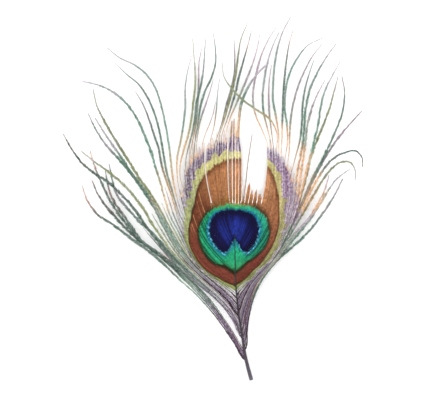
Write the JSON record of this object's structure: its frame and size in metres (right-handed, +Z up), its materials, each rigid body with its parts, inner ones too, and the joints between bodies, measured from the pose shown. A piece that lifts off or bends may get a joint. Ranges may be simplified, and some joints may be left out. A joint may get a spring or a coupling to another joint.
{
  "type": "peacock feather",
  "caption": "Peacock tail feather cut short below its eye: a thin curved shaft with a zipped iridescent eye and long loose barbs on both sides.",
  "frame": {"origin": "on the table under the middle of the feather's bounding box", "axes": "+Y runs along the feather from the cut end of the shaft to the tips above the eye, +X to the right of the bright side, +Z up out of the bright side"},
  "size_m": [0.12, 0.146, 0.0085],
  "materials": {
    "shaft": "smooth horny keratin, satin",
    "eye_barb": "iridescent barbules in rings of blue, green, copper, yellow-green and purple",
    "loose_barb": "iridescent loose barbules, green and bronze with grey-mauve bases and tips"
  },
  "bodies": {
    "root": {"shaft": "shaft", "eye_left_01": "eye_barb", "eye_left_02": "eye_barb", "eye_left_03": "eye_barb", "eye_left_04": "eye_barb", "eye_left_05": "eye_barb", "eye_left_06": "eye_barb", "eye_left_07": "eye_barb", "eye_left_08": "eye_barb", "eye_left_09": "eye_barb", "eye_left_10": "eye_barb", "eye_left_11": "eye_barb", "eye_left_12": "eye_barb", "eye_left_13": "eye_barb", "eye_left_14": "eye_barb", "eye_left_15": "eye_barb", "eye_middle_01": "eye_barb", "eye_middle_02": "eye_barb", "eye_middle_03": "eye_barb", "eye_middle_04": "eye_barb", "notch_lone_barb": "eye_barb", "notch_short_01": "eye_barb", "notch_short_02": "eye_barb", "notch_short_03": "eye_barb", "notch_short_04": "eye_barb", "eye_right_01": "eye_barb", "eye_right_02": "eye_barb", "eye_right_03": "eye_barb", "eye_right_04": "eye_barb", "eye_right_05": "eye_barb", "eye_right_06": "eye_barb", "eye_right_07": "eye_barb", "eye_right_08": "eye_barb", "eye_right_09": "eye_barb", "loose_left_01": "loose_barb", "loose_left_02": "loose_barb", "loose_left_03": "loose_barb", "loose_left_04": "loose_barb", "loose_left_05": "loose_barb", "loose_left_06": "loose_barb", "loose_left_07": "loose_barb", "loose_left_08": "loose_barb", "loose_left_09": "loose_barb", "loose_left_10": "loose_barb", "loose_left_11": "loose_barb", "loose_right_01": "loose_barb", "loose_right_02": "loose_barb", "loose_right_03": "loose_barb", "loose_right_04": "loose_barb", "loose_right_05": "loose_barb", "loose_right_06": "loose_barb", "loose_right_07": "loose_barb", "loose_right_08": "loose_barb", "loose_right_09": "loose_barb", "loose_right_10": "loose_barb", "loose_right_11": "loose_barb"}
  },
  "joints": []
}
